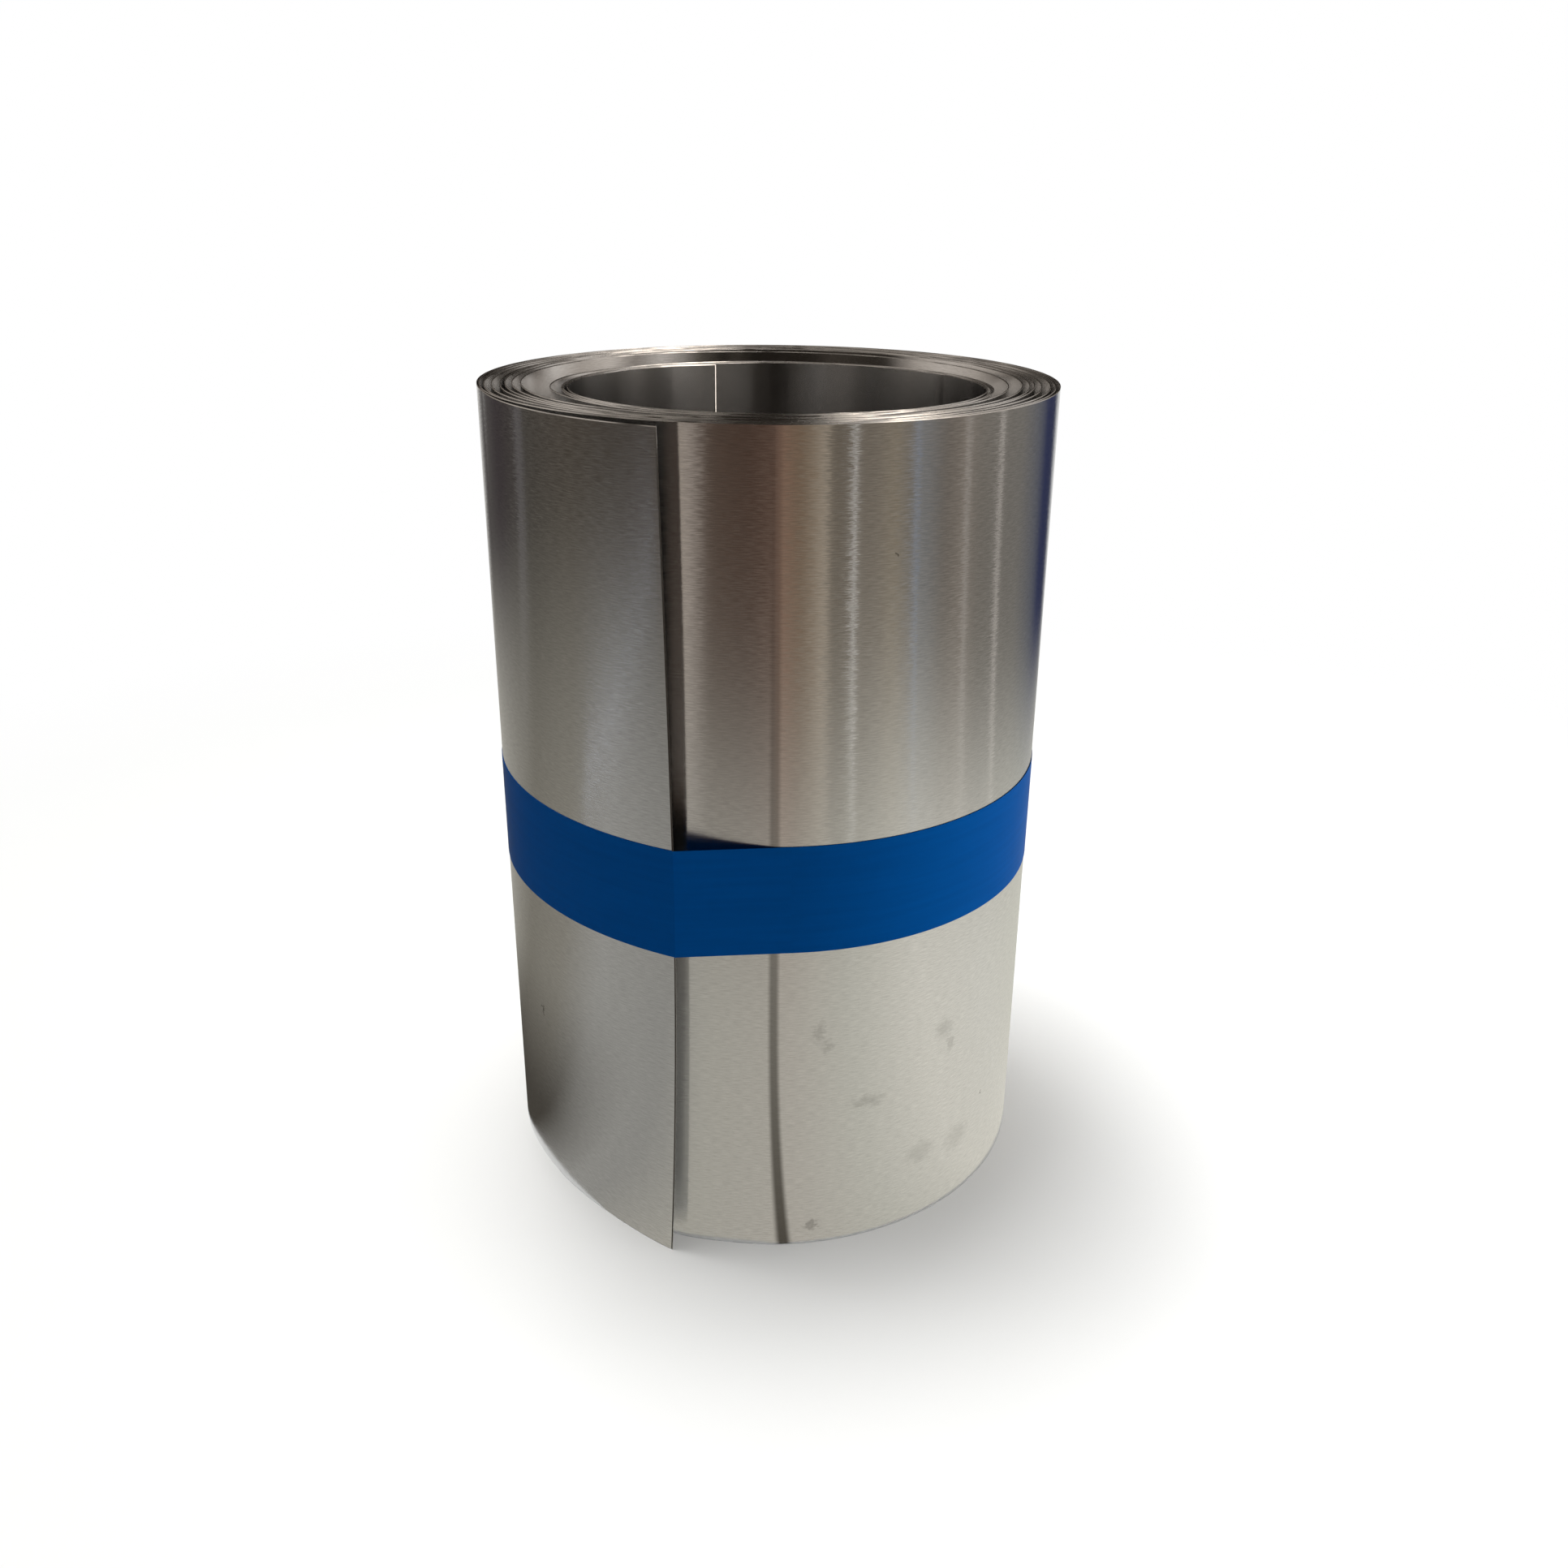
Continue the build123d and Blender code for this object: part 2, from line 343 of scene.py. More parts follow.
    # strip coordinates in metres, along the strip and across it
    stripU = addNode(tree, "ShaderNodeMath", {0: along, 1: given["length"]}, operation="MULTIPLY")
    stripV = addNode(tree, "ShaderNodeMath", {0: up, 1: given["width"]}, operation="MULTIPLY")
    strip = addNode(tree, "ShaderNodeCombineXYZ", {0: stripU, 1: stripV})
    mapped = addNode(tree, "GeometryNodeStoreNamedAttribute", {
        "Geometry": grid.outputs["Mesh"], "Name": "strip", "Value": strip},
        data_type="FLOAT2", domain="CORNER")
    marked = addNode(tree, "GeometryNodeStoreNamedAttribute", {
        "Geometry": mapped, "Name": "cutEdge", "Value": onEdge}, data_type="BOOLEAN", domain="FACE")
    wound = addNode(tree, "GeometryNodeSetPosition", {"Geometry": marked, "Position": target})
    smooth = addNode(tree, "GeometryNodeSetShadeSmooth", {"Geometry": wound})
    realized = addNode(tree, "GeometryNodeRealizeInstances", {"Geometry": smooth})
    faced = addNode(tree, "GeometryNodeSetMaterial", {"Geometry": realized, "Material": given["material"]})
    edgeFaces = addNode(tree, "GeometryNodeInputNamedAttribute", {"Name": "cutEdge"}, data_type="BOOLEAN")
    finished = addNode(tree, "GeometryNodeSetMaterial", {
        "Geometry": faced, "Selection": edgeFaces, "Material": given["edgeMaterial"]})
    addNode(tree, "NodeGroupOutput", {0: finished})
    return tree, sockets


# Materials of the sheet, with the marks that handling left on it, and a painted shade line along the crease

# shape of the painted shade line along the crease
crease = {
    "place": (1 - sheet["creaseTurn"] / sheet["turns"]) * sheet["length"],
    "lineWidth": 2.6 * mm,
    "lineCore": 0.25,                   # share of the half width that is dark all through
    "footWidth": 4.0 * mm,
    "footShift": 4.5 * mm,              # towards the right, seen from the front
    "footBend": 2.5,
    "tapers": 130 * mm,                 # height below which the line widens
    "footStrength": 0.9,
    "topStrength": 0.15,
}
scuffs = [  # turns back from the free end, height, half length, half height, strength
    (0.926, 108 * mm, 3 * mm, 7 * mm, 0.22),
    (0.9213, 101 * mm, 3 * mm, 4 * mm, 0.22),
    (0.8453, 94 * mm, 6 * mm, 6 * mm, 0.2),
    (0.8397, 85 * mm, 3 * mm, 5 * mm, 0.22),
    (0.897, 70 * mm, 9 * mm, 4 * mm, 0.22),
    (0.9284, 10 * mm, 3 * mm, 3.5 * mm, 0.4),
    (0.8591, 34 * mm, 9 * mm, 7 * mm, 0.16),
    (0.828, 32 * mm, 9 * mm, 9 * mm, 0.16),
    (0.8033, 46 * mm, 1.4 * mm, 1.4 * mm, 0.8),
    (0.8909, 307 * mm, 1.0 * mm, 1.0 * mm, 0.95),
    (0.1098, 87 * mm, 1.4 * mm, 2 * mm, 0.8),
]
flare = {
    "depth": 32 * mm,
    "lean": 0.26,
    "boreLean": 0.03,                   # on the turn at the bore
    "boreRun": 0.75,                    # metres of strip that the bore shows
    "lapRun": 0.2,                      # metres at the free end, without a flare
}


def leaningNormal(tree, *leans):  # the surface's normal with each lean added to it
    normal = addNode(tree, "ShaderNodeNewGeometry").outputs["Normal"]
    for lean in leans:
        normal = addNode(tree, "ShaderNodeVectorMath", {0: normal, 1: lean}, operation="ADD")
    return addNode(tree, "ShaderNodeVectorMath", {0: normal}, operation="NORMALIZE")


# rolled aluminium, unpainted: a soft mirror whose fine dashes along the strip break up the bright streaks
def millAluminium(name, outside):
    material, tree = newMaterial(name)
    finish = {
        "colour": "#ecedee",
        "dullColour": "#dadbdc",
        # colour of the painted shade line along the crease
        "creaseShadeColour": "#4c4840",
        "roughness": 0.18,
        "roughSwing": 0.03,
        "anisotropic": 0.9,
        "smearTurn": 0.25,              # a quarter turn, so that reflections are drawn out upright
        "dashLength": 4 * mm,
        "dashWidth": 0.4 * mm,          # real rolling marks are finer: drawn this wide so that they show
        "dashDetail": {"Scale": 1.0, "Detail": 2.0, "Roughness": 0.6},
        "otherShift": (31.7, 12.3, 0.0),  # a second set of dashes, apart from the first
        "sideTilt": 0.035,              # how far the dashes turn the reflection sideways
        "bump": 0.15,
        "bumpHeight": 0.02 * mm,
        "scuffColour": "#5e5c58",
        "scuffCore": 0.3,
        "raggedSize": 2.5 * mm,
        "raggedReach": 9 * mm,
        "endBand": 0.5 * mm,            # upright cut edge at the strip's end, rolled over by the shears
        "endLean": 0.8,
    }
    uv = addNode(tree, "ShaderNodeUVMap", uv_map="strip")
    split = addNode(tree, "ShaderNodeSeparateXYZ", {0: uv})
    stripU, stripV = split.outputs["X"], split.outputs["Y"]
    dashScale = (1 / finish["dashLength"], 1 / finish["dashWidth"], 1.0)
    dashPlace = addNode(tree, "ShaderNodeMapping", {"Vector": uv, "Scale": dashScale})
    dashes = addNode(
        tree, "ShaderNodeTexNoise", {"Vector": dashPlace, **finish["dashDetail"]}, noise_dimensions="2D")
    contrast = addNode(tree, "ShaderNodeMapRange", {
        "Value": dashes, "From Min": noiseLow, "From Max": noiseHigh})
    tone = addNode(tree, "ShaderNodeMix", {
        "Factor": contrast, colourA: linearColour(finish["dullColour"]),
        colourB: linearColour(finish["colour"])}, data_type="RGBA").outputs[colourOut]
    tangent = addNode(tree, "ShaderNodeTangent", direction_type="UV_MAP", uv_map="strip")
    shader = addNode(tree, "ShaderNodeBsdfPrincipled", {
        "Base Color": tone, "Metallic": 1.0, "Roughness": finish["roughness"],
        "Anisotropic": finish["anisotropic"], "Anisotropic Rotation": finish["smearTurn"],
        "Tangent": tangent})
    addNode(tree, "ShaderNodeOutputMaterial", {"Surface": shader})

    # each side shows one end of the strip: the outside the free end, the inner side the end in the bore
    fromFreeEnd = addNode(tree, "ShaderNodeMath", {0: sheet["length"], 1: stripU}, operation="SUBTRACT")
    fromEnd = fromFreeEnd if outside else stripU
    onEnd = addNode(tree, "ShaderNodeMath", {0: fromEnd, 1: finish["endBand"]}, operation="LESS_THAN")
    endRise = addNode(tree, "ShaderNodeMath", {0: onEnd, 1: finish["endLean"]}, operation="MULTIPLY")
    if not outside:  # between the turns the sheet's rims flare a little, so they show the light from above
        fromTop = addNode(tree, "ShaderNodeMapRange", {
            "Value": stripV, "From Min": sheet["width"] - flare["depth"], "From Max": sheet["width"]})
        hidden = addNode(tree, "ShaderNodeMath", {0: stripU, 1: flare["boreRun"]}, operation="GREATER_THAN")
        leanMost = addNode(tree, "ShaderNodeMapRange", {
            "Value": hidden, "To Min": flare["boreLean"], "To Max": flare["lean"]})
        wound = addNode(tree, "ShaderNodeMath", {0: stripU, 1: sheet["length"] - flare["lapRun"]},
                        operation="LESS_THAN")
        leanWound = addNode(tree, "ShaderNodeMath", {0: leanMost, 1: wound}, operation="MULTIPLY")
        rise = addNode(tree, "ShaderNodeMath", {0: fromTop, 1: leanWound}, operation="MULTIPLY")
        rimOrEnd = addNode(tree, "ShaderNodeMath", {0: rise, 1: endRise}, operation="MAXIMUM")
        lean = addNode(tree, "ShaderNodeCombineXYZ", {2: rimOrEnd})
        tree.links.new(leaningNormal(tree, lean).outputs[0], shader.inputs["Normal"])
        return material

    otherPlace = addNode(tree, "ShaderNodeMapping", {
        "Vector": uv, "Scale": dashScale, "Location": finish["otherShift"]})
    otherDashes = addNode(
        tree, "ShaderNodeTexNoise", {"Vector": otherPlace, **finish["dashDetail"]}, noise_dimensions="2D")
    rough = addNode(tree, "ShaderNodeMapRange", {
        "Value": otherDashes, "From Min": noiseLow, "From Max": noiseHigh,
        "To Min": finish["roughness"] - finish["roughSwing"],
        "To Max": finish["roughness"] + finish["roughSwing"]})
    sideways = addNode(tree, "ShaderNodeMapRange", {
        "Value": otherDashes, "To Min": -finish["sideTilt"], "To Max": finish["sideTilt"]}, clamp=False)
    sideLean = addNode(tree, "ShaderNodeVectorMath", {0: tangent, "Scale": sideways}, operation="SCALE")
    endLean = addNode(tree, "ShaderNodeCombineXYZ", {2: endRise})
    bump = addNode(tree, "ShaderNodeBump", {
        "Strength": finish["bump"], "Distance": finish["bumpHeight"], "Height": dashes,
        "Normal": leaningNormal(tree, sideLean, endLean)})

    # painted shade: a dark line along the crease, wider towards the foot
    aboveFoot = addNode(tree, "ShaderNodeMapRange", {
        "Value": stripV, "From Max": crease["tapers"], "To Min": 1.0, "To Max": 0.0})
    footCurve = addNode(tree, "ShaderNodeMath", {0: aboveFoot, 1: crease["footBend"]}, operation="POWER")
    creasePlace = addNode(tree, "ShaderNodeMath", {0: footCurve, 1: crease["footShift"], 2: crease["place"]},
                          operation="MULTIPLY_ADD")
    fromCrease = addNode(tree, "ShaderNodeMath", {0: stripU, 1: creasePlace}, operation="SUBTRACT")
    offCrease = addNode(tree, "ShaderNodeMath", {0: fromCrease}, operation="ABSOLUTE")
    lineWidth = addNode(tree, "ShaderNodeMapRange", {
        "Value": footCurve, "To Min": crease["lineWidth"], "To Max": crease["footWidth"]})
    inLine = addNode(tree, "ShaderNodeMath", {0: offCrease, 1: lineWidth}, operation="DIVIDE")
    lineFade = addNode(tree, "ShaderNodeMapRange", {
        "Value": inLine, "From Min": crease["lineCore"], "To Min": 1.0, "To Max": 0.0},
        interpolation_type="SMOOTHSTEP")
    lineStrength = addNode(tree, "ShaderNodeMapRange", {
        "Value": stripV, "From Max": sheet["width"],
        "To Min": crease["footStrength"], "To Max": crease["topStrength"]})
    creaseShade = addNode(tree, "ShaderNodeMath", {0: lineFade, 1: lineStrength}, operation="MULTIPLY")
    marked = addNode(tree, "ShaderNodeMix", {
        "Factor": creaseShade, colourA: tone, colourB: linearColour(finish["creaseShadeColour"])}, data_type="RGBA")

    # grey scuffs from handling, with ragged outlines, and dark specks
    ragged = addNode(tree, "ShaderNodeTexNoise", {
        "Vector": uv, "Scale": 1 / finish["raggedSize"], "Detail": 2.0})
    strayed = addNode(tree, "ShaderNodeVectorMath", {0: ragged.outputs["Color"], 1: (0.5, 0.5, 0.5)},
                      operation="SUBTRACT")
    strayScaled = addNode(
        tree, "ShaderNodeVectorMath", {0: strayed, "Scale": finish["raggedReach"]}, operation="SCALE")
    scuffPlace = addNode(tree, "ShaderNodeVectorMath", {0: uv, 1: strayScaled}, operation="ADD")
    worn = 0.0
    for turnsBack, height, halfLength, halfHeight, strength in scuffs:
        centre = ((1 - turnsBack / sheet["turns"]) * sheet["length"], height, 0.0)
        fromScuff = addNode(tree, "ShaderNodeVectorMath", {0: scuffPlace, 1: centre}, operation="SUBTRACT")
        shape = (1 / halfLength, 1 / halfHeight, 0.0)
        shaped = addNode(tree, "ShaderNodeVectorMath", {0: fromScuff, 1: shape}, operation="MULTIPLY")
        offScuff = addNode(tree, "ShaderNodeVectorMath", {0: shaped}, operation="LENGTH")
        fade = addNode(tree, "ShaderNodeMapRange", {
            "Value": offScuff.outputs["Value"], "From Min": finish["scuffCore"],
            "To Min": strength, "To Max": 0.0})
        worn = addNode(tree, "ShaderNodeMath", {0: worn, 1: fade}, operation="MAXIMUM")
    scuffed = addNode(tree, "ShaderNodeMix", {
        "Factor": worn, colourA: marked.outputs[colourOut], colourB: linearColour(finish["scuffColour"])},
        data_type="RGBA")
    tree.links.new(scuffed.outputs[colourOut], shader.inputs["Base Color"])
    tree.links.new(rough.outputs[0], shader.inputs["Roughness"])
    tree.links.new(bump.outputs[0], shader.inputs["Normal"])
    return material


def shearedEdge():  # the strip's cut edges: rolled over by the shears, so they turn up to the light and glint
    material, tree = newMaterial("shearedAluminiumEdge")
    finish = {
        "colour": "#ecedee",
        "roughLow": 0.15,
        "roughHigh": 0.4,
        "flatLength": 30 * mm,
        "rollLow": 0.55,
        "rollHigh": 1.5,
    }
    place = addNode(tree, "ShaderNodeTexCoord")
    uv = addNode(tree, "ShaderNodeUVMap", uv_map="strip")
    run = addNode(tree, "ShaderNodeMapping", {"Vector": uv, "Scale": (1 / finish["flatLength"], 0.0, 0.0)})
    flats = addNode(tree, "ShaderNodeTexNoise", {"Vector": run, "Scale": 1.0, "Detail": 2.0})
    rough = addNode(tree, "ShaderNodeMapRange", {
        "Value": flats, "From Min": noiseLow, "From Max": noiseHigh,
        "To Min": finish["roughLow"], "To Max": finish["roughHigh"]})
    split = addNode(tree, "ShaderNodeSeparateXYZ", {0: place.outputs["Object"]})
    upperHalf = addNode(
        tree, "ShaderNodeMath", {0: split.outputs["Z"], 1: sheet["width"] / 2}, operation="GREATER_THAN")
    outward = addNode(tree, "ShaderNodeMapRange", {"Value": upperHalf, "To Min": -1.0, "To Max": 1.0})
    rolled = addNode(tree, "ShaderNodeMapRange", {
        "Value": flats, "From Min": noiseLow, "From Max": noiseHigh,
        "To Min": finish["rollLow"], "To Max": finish["rollHigh"]})
    rise = addNode(tree, "ShaderNodeMath", {0: outward, 1: rolled}, operation="MULTIPLY")
    lean = addNode(tree, "ShaderNodeCombineXYZ", {2: rise})
    shader = addNode(tree, "ShaderNodeBsdfPrincipled", {
        "Base Color": linearColour(finish["colour"]), "Metallic": 1.0, "Roughness": rough,
        "Normal": leaningNormal(tree, lean)})
    addNode(tree, "ShaderNodeOutputMaterial", {"Surface": shader})
    return material


def blueTape():  # calendered vinyl tape: smooth, deep blue, satin gloss, a little stretched along its length
    material, tree = newMaterial("blueVinylTapeCalendered")
    finish = {
        "colour": "#004383",
        "deepColour": "#003d78",
        "roughness": 0.35,
        "specular": 0.006,
        "streakLength": 60 * mm,
        "streakWidth": 2.5 * mm,
        "bump": 0.06,
        "bumpHeight": 0.1 * mm,
    }
    uv = addNode(tree, "ShaderNodeUVMap", uv_map="band")
    streakScale = (1 / finish["streakLength"], 1 / finish["streakWidth"], 1.0)
    place = addNode(tree, "ShaderNodeMapping", {"Vector": uv, "Scale": streakScale})
    streak = addNode(
        tree, "ShaderNodeTexNoise", {"Vector": place, "Scale": 1.0, "Detail": 3.0}, noise_dimensions="2D")
    tone = addNode(tree, "ShaderNodeMix", {
        "Factor": streak, colourA: linearColour(finish["deepColour"]),
        colourB: linearColour(finish["colour"])}, data_type="RGBA")
    bump = addNode(tree, "ShaderNodeBump", {
        "Strength": finish["bump"], "Distance": finish["bumpHeight"], "Height": streak})
    shader = addNode(tree, "ShaderNodeBsdfPrincipled", {
        "Base Color": tone.outputs[colourOut], "Roughness": finish["roughness"],
        "Specular IOR Level": finish["specular"], "Normal": bump})
    addNode(tree, "ShaderNodeOutputMaterial", {"Surface": shader})
    return material


aluminium = millAluminium("rolledAluminiumMillFinish", True)
innerAluminium = millAluminium("rolledAluminiumInnerSide", False)
edgeMetal = shearedEdge()
tapeVinyl = blueTape()
print("materials made")

tree, sockets = buildSheetTree()
wound = addObject("woundFlashing", bpy.data.meshes.new("woundFlashing"))
sheetMaterials = {"material": aluminium, "edgeMaterial": edgeMetal}
winder = wound.modifiers.new("winding", "NODES")
winder.node_group = tree
for name, socket in sockets.items():
    winder[socket.identifier] = sheetMaterials.get(name) or sheet[name]
thicken = wound.modifiers.new("gauge", "SOLIDIFY")
thicken.thickness = sheet["thickness"]
thicken.offset = -1.0
woundMesh = plainMesh(wound)

# the faces of the outer side come first, then those of the inner side, then those of the rim
outerFaces = (sheet["columns"] - 1) * (sheet["rows"] - 1)
edgeSlot = list(woundMesh.materials).index(edgeMetal)
onEdge = [face.material_index == edgeSlot for face in woundMesh.polygons]
metals = [aluminium, edgeMetal, innerAluminium]
woundMesh.materials.clear()
for metal in metals:
    woundMesh.materials.append(metal)
for face in woundMesh.polygons:
    isRim = face.index >= 2 * outerFaces
    isInner = face.index >= outerFaces
    metal = edgeMetal if isRim or onEdge[face.index] else innerAluminium if isInner else aluminium
    face.material_index = metals.index(metal)
metalCounts = [sum(face.material_index == k for face in woundMesh.polygons) for k in range(len(metals))]
print("faces by metal", metalCounts)
woundMesh.set_sharp_from_angle(angle=sheetSharpAngle)
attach(wound, "root")
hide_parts("flashing_roll")
print("sheet wound:", len(woundMesh.polygons), "faces")


# The band of tape lies on the outer turn, goes out over the lap and straight on from its corner to the roll

tape = {
    "low": tapeLow.z,
    "high": tapeHigh.z,
    "rows": 7,
    "standOff": 0.12 * mm,
    "thickness": 0.18 * mm,
    "bridgeColumns": 24,
    "touchFirst": 0.99,                 # turns back from the free end: it touches the roll between these
    "touchLast": 0.85,
    "sharpAngle": radians(15),
}
columns = sheet["columns"]


def sheetPoint(column, z):  # plan of the sheet's outer face at a height
    share = z / sheet["width"] * (sheet["rows"] - 1)
    row = min(int(share), sheet["rows"] - 2)
    first = column * sheet["rows"] + row
    point = woundMesh.vertices[first].co.lerp(woundMesh.vertices[first + 1].co, share - row)
    return Vector((point.x, point.y))


def columnAt(turnsLeft):
    return round((1 - sheet["outerColumnShare"] * turnsLeft / sheet["outerTurns"]) * (columns - 1))


def touchColumn(z):  # where a straight line from the lap's corner touches the roll
    corner = sheetPoint(columns - 1, z)
    for column in range(columnAt(tape["touchFirst"]), columnAt(tape["touchLast"])):
        reach = sheetPoint(column, z) - corner
        step = sheetPoint(column + 1, z) - sheetPoint(column, z)
        if reach.x * step.y - reach.y * step.x > 0:
            return column


touch = touchColumn((tape["low"] + tape["high"]) / 2)


def tapePath(z):  # closed line of the tape's inner face at a height
    path = []
    for column in range(touch, columns):
        ahead = sheetPoint(min(column + 1, columns - 1), z) - sheetPoint(column - 1, z)
        outward = Vector((ahead.y, -ahead.x)).normalized()
        path.append(sheetPoint(column, z) + outward * tape["standOff"])
    bridge = [path[-1].lerp(path[0], k / tape["bridgeColumns"]) for k in range(1, tape["bridgeColumns"])]
    return path + bridge


tapeWidth = tape["high"] - tape["low"]
rowHeights = [tape["low"] + tapeWidth * k / (tape["rows"] - 1) for k in range(tape["rows"])]
paths = [tapePath(z) for z in rowHeights]
loop = len(paths[0])
reach = [0.0]
for k in range(loop):
    reach.append(reach[-1] + (paths[0][(k + 1) % loop] - paths[0][k]).length)
vertices = [(point.x, point.y, z) for path, z in zip(paths, rowHeights) for point in path]
faces = []
bandPlaces = []
for row in range(tape["rows"] - 1):
    for k in range(loop):
        after = (k + 1) % loop
        faces.append((row * loop + k, row * loop + after, (row + 1) * loop + after, (row + 1) * loop + k))
        bandPlaces += [(reach[k], rowHeights[row]), (reach[k + 1], rowHeights[row]),
                       (reach[k + 1], rowHeights[row + 1]), (reach[k], rowHeights[row + 1])]
bandMesh = bpy.data.meshes.new("tapeBand")
bandMesh.from_pydata(vertices, [], faces)
bandLayer = bandMesh.uv_layers.new(name="band")
for corner, place in zip(bandLayer.data, bandPlaces):
    corner.uv = place
bandMesh.materials.append(tapeVinyl)
bandMesh.shade_smooth()
band = addObject("tapeBand", bandMesh)
film = band.modifiers.new("film", "SOLIDIFY")
film.thickness = tape["thickness"]
film.offset = 1.0
bandMesh = plainMesh(band)
bandMesh.set_sharp_from_angle(angle=tape["sharpAngle"])
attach(band, "root")
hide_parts("binding_tape")
touchPlace = sheetPoint(touch, rowHeights[tape["rows"] // 2])
print("tape laid:", len(bandMesh.polygons), "faces, touches the roll at", touchPlace / mm)


# Stage: pale floor, soft light, and a plain room of cards that only the reflections show

ringSteps = 96
pinhole = 0.0001                        # inner radius of a closed disc


def ringBand(name, inner, outer):  # a band between two level circles, each given as radius and height
    turns = [2 * pi * k / ringSteps for k in range(ringSteps)]
    points = [(cos(turn) * size, sin(turn) * size, z) for size, z in (inner, outer) for turn in turns]
    after = [(k + 1) % ringSteps for k in range(ringSteps)]
    quads = [(k, ringSteps + k, ringSteps + after[k], after[k]) for k in range(ringSteps)]
    mesh = bpy.data.meshes.new(name)
    mesh.from_pydata(points, [], quads)
    return addObject(name, mesh)


def seenRay(tree):  # 1 for rays that show a background: from the camera, reflected or through a clear body
    path = addNode(tree, "ShaderNodeLightPath").outputs
    cameraOrGlossy = addNode(
        tree, "ShaderNodeMath", {0: path["Is Camera Ray"], 1: path["Is Glossy Ray"]}, operation="ADD")
    return addNode(tree, "ShaderNodeMath", {0: cameraOrGlossy, 1: path["Is Transmission Ray"]},
                   operation="ADD", use_clamp=True)


def compassPlace(tree):  # 0 to 1 round the roll's axis, from the back
    place = addNode(tree, "ShaderNodeTexCoord").outputs["Object"]
    split = addNode(tree, "ShaderNodeSeparateXYZ", {0: place})
    forward = addNode(tree, "ShaderNodeMath", {0: split.outputs["Y"], 1: -1.0}, operation="MULTIPLY")
    compass = addNode(tree, "ShaderNodeMath", {0: split.outputs["X"], 1: forward}, operation="ARCTAN2")
    around = addNode(tree, "ShaderNodeMapRange", {"Value": compass, "From Min": -pi, "From Max": pi})
    return place, around


def glowMaterial(tree, tone, strength=1.0):
    glow = addNode(tree, "ShaderNodeEmission", {"Color": tone, "Strength": strength})
    addNode(tree, "ShaderNodeOutputMaterial", {"Surface": glow})


def softLamp(name, power, size, place, shadow):
    lamp = bpy.data.lights.new(name, "AREA")
    lamp.energy = power
    lamp.size = size
    lamp.use_shadow = shadow
    holder = addObject(name, lamp)
    holder.location = place
    holder.rotation_euler = (stageSet["aim"] - place).to_track_quat("-Z", "Y").to_euler()
    holder.visible_glossy = False


stageSet = {
    "white": "#ffffff",
    "floorColour": "#f6f6f4",
    "floorRadius": 8.0,
    "fadeStart": 0.45,                  # the floor turns plain white between these distances
    "fadeEnd": 0.9,
    "worldLevel": 0.24,
    "aim": Vector((0.0, 0.0, 0.15)),
    "keyPower": 58.0,
    "keySize": 0.9,
    "keyPlace": Vector((-0.32, 0.25, 2.7)),
    "fillPower": 25.0,
    "fillSize": 0.9,
    "fillPlace": Vector((1.5, 0.0, 0.35)),
}

floorMaterial, tree = newMaterial("palePaperFloor")
place = addNode(tree, "ShaderNodeTexCoord")
fromRoll = addNode(tree, "ShaderNodeVectorMath", {0: place.outputs["Object"]}, operation="LENGTH")
far = addNode(tree, "ShaderNodeMapRange", {
    "Value": fromRoll.outputs["Value"], "From Min": stageSet["fadeStart"], "From Max": stageSet["fadeEnd"]},
    interpolation_type="SMOOTHSTEP")
paper = addNode(tree, "ShaderNodeBsdfDiffuse", {"Color": linearColour(stageSet["floorColour"])})
white = addNode(tree, "ShaderNodeEmission", {"Color": linearColour(stageSet["white"]), "Strength": 1.0})
shown = addNode(tree, "ShaderNodeMath", {0: far, 1: seenRay(tree)}, operation="MULTIPLY")
floorShader = addNode(tree, "ShaderNodeMixShader", {0: shown, 1: paper, 2: white})
addNode(tree, "ShaderNodeOutputMaterial", {"Surface": floorShader})
floor = ringBand("paperFloor", (pinhole, 0.0), (stageSet["floorRadius"], 0.0))
floor.data.materials.append(floorMaterial)

world = bpy.data.worlds.new("softStudio")
scene.world = world
world.use_nodes = True
tree = world.node_tree
tree.nodes.clear()
level = addNode(tree, "ShaderNodeMapRange", {
    "Value": seenRay(tree), "To Min": stageSet["worldLevel"], "To Max": 1.0})
sky = addNode(tree, "ShaderNodeBackground", {"Color": linearColour(stageSet["white"]), "Strength": level})
addNode(tree, "ShaderNodeOutputWorld", {"Surface": sky})

softLamp("softKey", stageSet["keyPower"], stageSet["keySize"], stageSet["keyPlace"], True)
softLamp("softFill", stageSet["fillPower"], stageSet["fillSize"], stageSet["fillPlace"], False)

# room tones by compass place: the back is 0, the left 0.25, the front 0.5, the right 0.75
wallStops = [
    (0.0, "#ffffff"), (0.055, "#d8d6d2"), (0.09, "#504c4a"), (0.13, "#383234"), (0.195, "#3c3833"),
    (0.26, "#3a322a"), (0.36, "#443c35"), (0.385, "#6a6058"), (0.405, "#a89c8c"), (0.425, "#a0948a"),
    (0.442, "#524238"), (0.47, "#4a362c"), (0.495, "#785e50"), (0.515, "#846856"), (0.53, "#76624f"),
    (0.545, "#8a7a68"), (0.5575, "#a89b8a"), (0.5615, "#6a6054"), (0.61, "#746a5e"), (0.63, "#807462"),
    (0.645, "#6c645a"), (0.665, "#6c6c6c"), (0.69, "#665e56"), (0.715, "#7a7066"), (0.74, "#6e6860"),
    (0.81, "#74706a"), (0.855, "#5a5c64"), (0.88, "#2a3050"), (0.91, "#30344c"), (0.935, "#d8d8d6"),
    (1.0, "#ffffff")]
floorStops = [
    (0.0, "#d8d6ce"), (0.10, "#b0ada4"), (0.20, "#807c72"), (0.26, "#8c887e"), (0.31, "#a09e98"),
    (0.38, "#989690"), (0.45, "#b2aea3"), (0.52, "#bab4a9"), (0.58, "#c6c3b7"), (0.66, "#dedace"),
    (0.75, "#dedbd0"), (0.85, "#d4d2c6"), (1.0, "#d8d6ce")]
